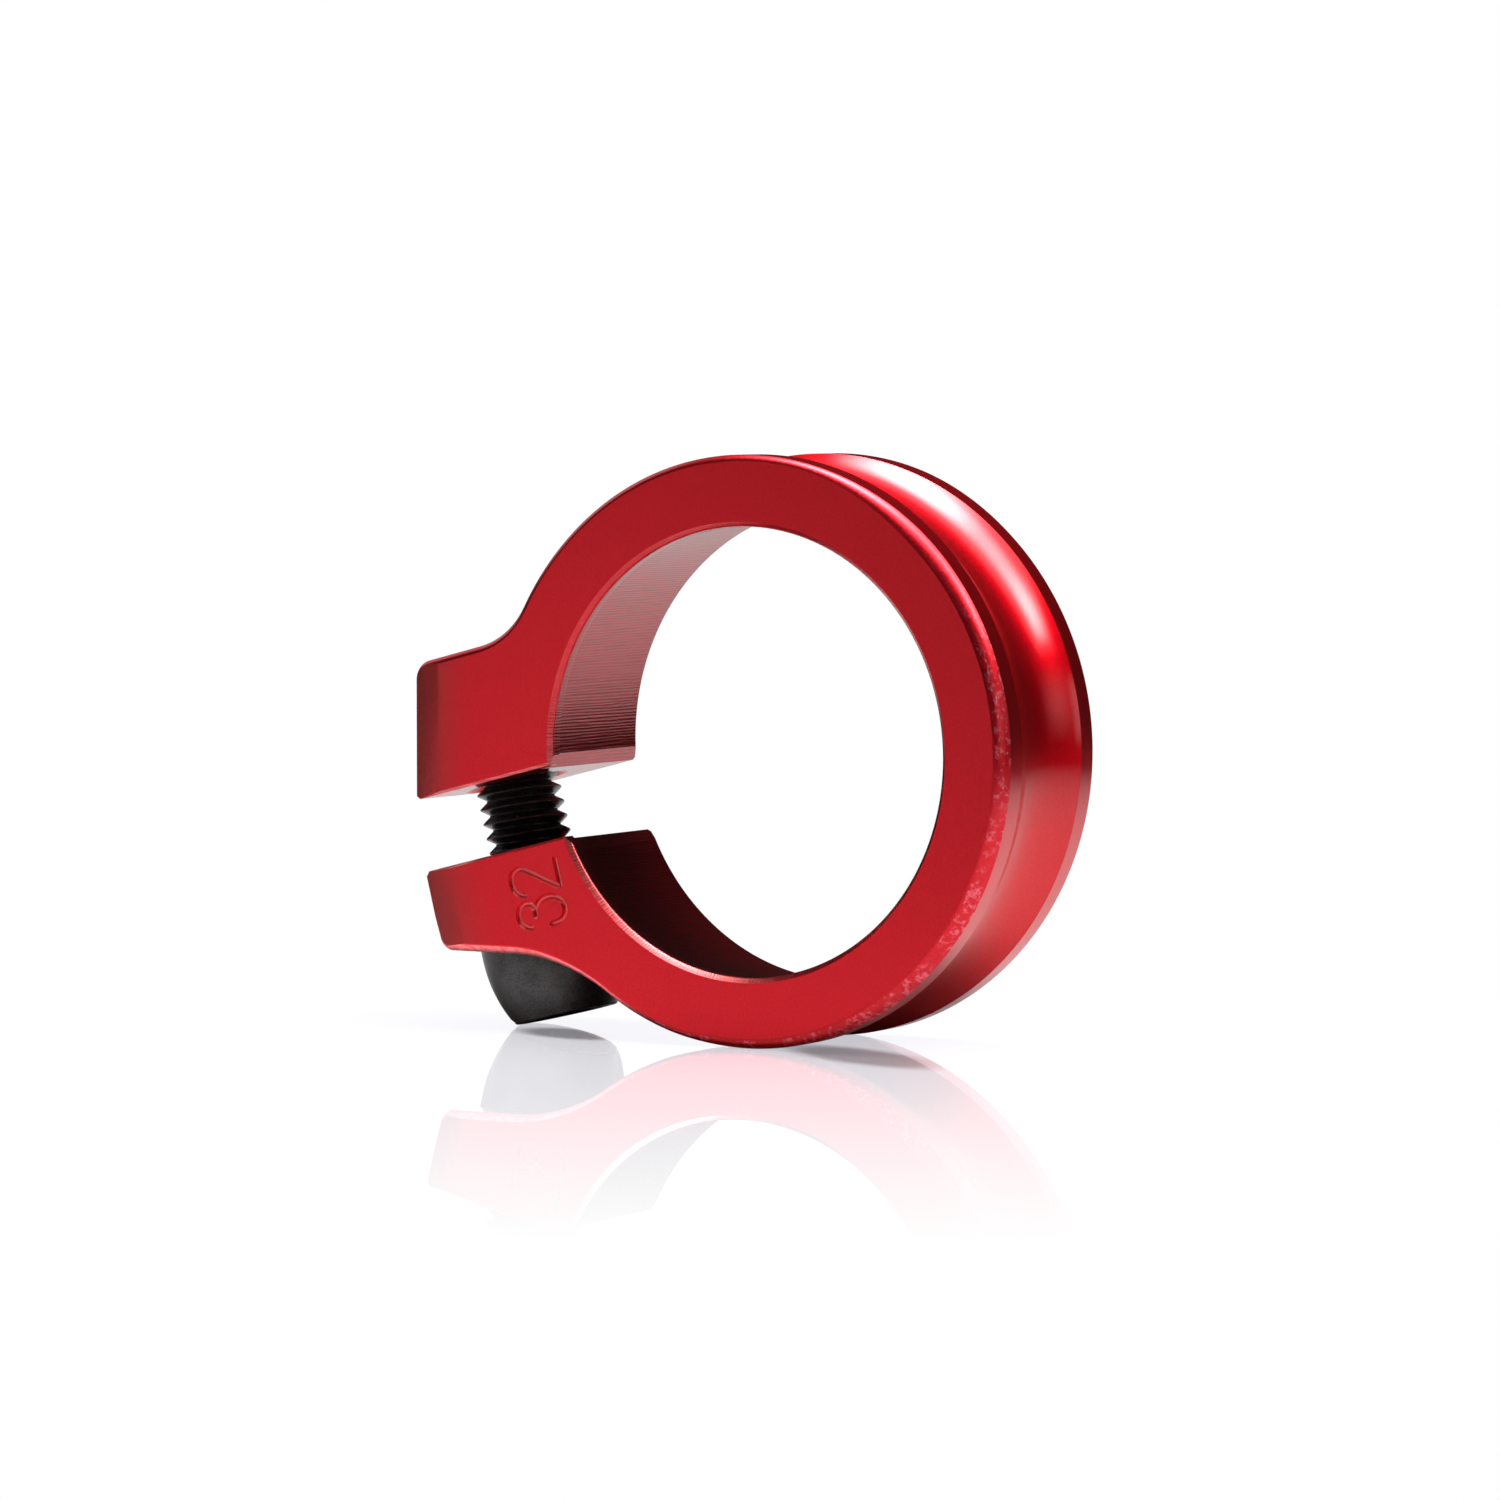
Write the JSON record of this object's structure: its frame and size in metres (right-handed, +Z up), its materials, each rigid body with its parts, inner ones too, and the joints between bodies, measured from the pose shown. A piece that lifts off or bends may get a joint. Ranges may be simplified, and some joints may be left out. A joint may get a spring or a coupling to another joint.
{
  "type": "seatpost clamp",
  "caption": "Waisted split-ring seatpost clamp with an inner lip and one socket bolt drawing its ears together.",
  "frame": {"origin": "bore axis at the middle of the clamp's width", "axes": "+Y along the bore, from the lipped front face to the rear; +Z up as the clamp lies on its rims and bolt head; ears towards -X"},
  "size_m": [0.0451, 0.013, 0.0388],
  "materials": {
    "band": "satin red anodised, bead blasted",
    "bolt": "satin black oxide"
  },
  "bodies": {
    "band": {"clamp_band": "band"},
    "bolt": {"clamp_bolt": "bolt"}
  },
  "joints": [
    {"name": "bolt_turn", "type": "hinge", "parent": "band", "child": "bolt", "pos_m": [-0.02099, 0, -0.00531], "axis": [-0.2452, 0, 0.9695], "range_deg": [-1350, 180]}
  ]
}
